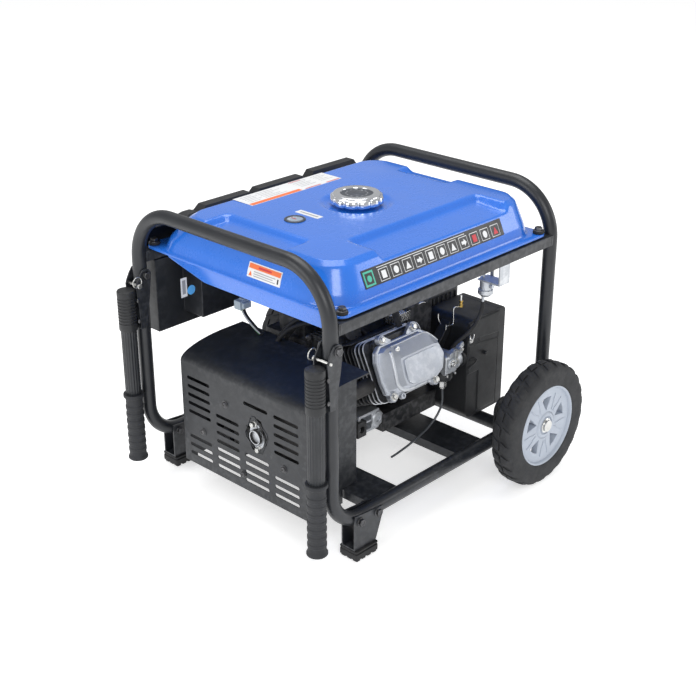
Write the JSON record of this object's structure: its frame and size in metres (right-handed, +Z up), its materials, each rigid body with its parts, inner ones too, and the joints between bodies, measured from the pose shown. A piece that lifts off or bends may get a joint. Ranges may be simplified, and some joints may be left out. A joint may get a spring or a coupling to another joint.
{
  "type": "portable generator",
  "caption": "Open-frame portable generator with blue fuel tank, side-valve-cover engine, louvred muffler cover, two wheels, rubber feet and folding handles",
  "frame": {"origin": "centre of the object's box, on the floor", "axes": "+X towards the wheel and air filter end, +Y towards the control panel, +Z up"},
  "size_m": [0.6924, 0.7, 0.5765],
  "materials": {
    "frame_black": "satin",
    "zinc": "zinc plated",
    "rubber": "matte",
    "tank_blue": "gloss",
    "strainer": "satin",
    "gauge": "satin",
    "alloy": "die cast",
    "engine_black": "satin",
    "black_plastic": "moulded",
    "windings": "lamination",
    "spark_plug": "matte",
    "muffler_steel": "heat resistant",
    "cover_black": "satin",
    "panel_black": "satin",
    "harness": "insulation",
    "vent_tube": "semi clear",
    "rim_grey": "moulded",
    "tyre": "moulded",
    "handle_black": "satin",
    "grip_rubber": "matte",
    "chrome": "polished",
    "steel": "machined",
    "switch_red": "gloss",
    "button_white": "gloss"
  },
  "bodies": {
    "root": {"hoop_handle_end": "frame_black", "hoop_wheel_end": "frame_black", "frame_members": "frame_black", "axle_brackets": "frame_black", "axle": "zinc", "foot_brackets": "frame_black", "foot_pads": "rubber", "frame_bolts": "zinc", "tank_upper": "tank_blue", "tank_lower": "tank_blue", "tank_bushes": "rubber", "fuel_strainer": "strainer", "fuel_gauge": "gauge", "fuel_valve": "alloy", "fuel_hose": "rubber", "crankcase": "engine_black", "cylinder_barrel": "engine_black", "cylinder_head": "alloy", "valve_cover": "alloy", "cover_bolts": "zinc", "cylinder_shroud": "engine_black", "carburettor": "alloy", "intake_elbow": "black_plastic", "air_filter_base": "black_plastic", "air_filter_cover": "black_plastic", "fan_shroud": "engine_black", "recoil_cover": "black_plastic", "stator": "windings", "alternator_end_bell": "alloy", "engine_mounts": "rubber", "spark_plug": "spark_plug", "muffler": "muffler_steel", "exhaust_pipes": "zinc", "muffler_cover": "cover_black", "panel_housing": "cover_black", "panel_face": "panel_black", "panel_hood": "panel_black", "panel_fittings": "black_plastic", "wiring_harness": "harness", "vent_tube": "vent_tube"},
    "wheel_engine_side": {"wheel_rim_engine_side": "rim_grey", "tyre_engine_side": "tyre"},
    "wheel_panel_side": {"wheel_rim_panel_side": "rim_grey", "tyre_panel_side": "tyre"},
    "handle_engine_side": {"handle_arm_engine_side": "handle_black", "handle_grip_engine_side": "grip_rubber"},
    "handle_panel_side": {"handle_arm_panel_side": "handle_black", "handle_grip_panel_side": "grip_rubber"},
    "pin_engine_side": {"lock_pin_engine_side": "zinc"},
    "pin_panel_side": {"lock_pin_panel_side": "zinc"},
    "cap_insert": {"fuel_cap_insert": "black_plastic"},
    "cap": {"fuel_cap": "chrome"},
    "valve_lever": {"fuel_valve_lever": "zinc"},
    "choke": {"choke_lever": "zinc"},
    "starter_grip": {"recoil_grip": "black_plastic"},
    "shaft": {"crankshaft": "steel"},
    "switch": {"engine_switch": "switch_red"},
    "breaker": {"breaker_button": "button_white"},
    "socket_flap": {"outlet_cover": "black_plastic"},
    "dipstick": {"oil_dipstick": "black_plastic"}
  },
  "joints": [
    {"name": "wheel_spin_engine_side", "type": "hinge", "parent": "root", "child": "wheel_engine_side", "pos_m": [0.21925, -0.322, 0.127], "axis": [0, 1, 0], "continuous": true},
    {"name": "wheel_spin_panel_side", "type": "hinge", "parent": "root", "child": "wheel_panel_side", "pos_m": [0.21925, 0.322, 0.127], "axis": [0, 1, 0], "continuous": true},
    {"name": "handle_fold_engine_side", "type": "hinge", "parent": "root", "child": "handle_engine_side", "pos_m": [-0.28975, -0.251, 0.432], "axis": [0, 1, 0], "range_deg": [0, 90]},
    {"name": "handle_fold_panel_side", "type": "hinge", "parent": "root", "child": "handle_panel_side", "pos_m": [-0.28975, 0.251, 0.432], "axis": [0, 1, 0], "range_deg": [0, 90]},
    {"name": "pin_pull_engine_side", "type": "slide", "parent": "handle_engine_side", "child": "pin_engine_side", "axis": [0, 1, 0], "range_m": [0, 0.04]},
    {"name": "pin_pull_panel_side", "type": "slide", "parent": "handle_panel_side", "child": "pin_panel_side", "axis": [0, -1, 0], "range_m": [0, 0.04]},
    {"name": "cap_lift", "type": "slide", "parent": "root", "child": "cap_insert", "axis": [0, 0, 1], "range_m": [0, 0.06]},
    {"name": "cap_turn", "type": "hinge", "parent": "cap_insert", "child": "cap", "pos_m": [0.03625, -0.005, 0.566], "axis": [0, 0, 1], "range_deg": [0, 90]},
    {"name": "fuel_valve_turn", "type": "hinge", "parent": "root", "child": "valve_lever", "pos_m": [0.22725, -0.19, 0.39], "axis": [1, 0, 0], "range_deg": [0, 90]},
    {"name": "choke_turn", "type": "hinge", "parent": "root", "child": "choke", "pos_m": [0.13125, -0.185, 0.244], "axis": [0, 1, 0], "range_deg": [0, 50]},
    {"name": "starter_pull", "type": "slide", "parent": "root", "child": "starter_grip", "axis": [1, 0, 0], "range_m": [0, 0.6], "stiffness_N_per_m": 40},
    {"name": "crank_spin", "type": "hinge", "parent": "root", "child": "shaft", "pos_m": [0.01925, 0.06, 0.178], "axis": [1, 0, 0], "continuous": true},
    {"name": "switch_rock", "type": "hinge", "parent": "root", "child": "switch", "pos_m": [0.22425, 0.269, 0.405], "axis": [1, 0, 0], "range_deg": [0, 24]},
    {"name": "breaker_press", "type": "slide", "parent": "root", "child": "breaker", "axis": [0, -1, 0], "range_m": [0, 0.003], "stiffness_N_per_m": 300},
    {"name": "flap_lift", "type": "hinge", "parent": "root", "child": "socket_flap", "pos_m": [-0.19575, 0.2746, 0.403], "axis": [1, 0, 0], "range_deg": [0, 120]},
    {"name": "dipstick_turn", "type": "hinge", "parent": "root", "child": "dipstick", "pos_m": [0.08925, -0.014, 0.148], "axis": [0, -0.766, 0.6428], "continuous": true}
  ]
}
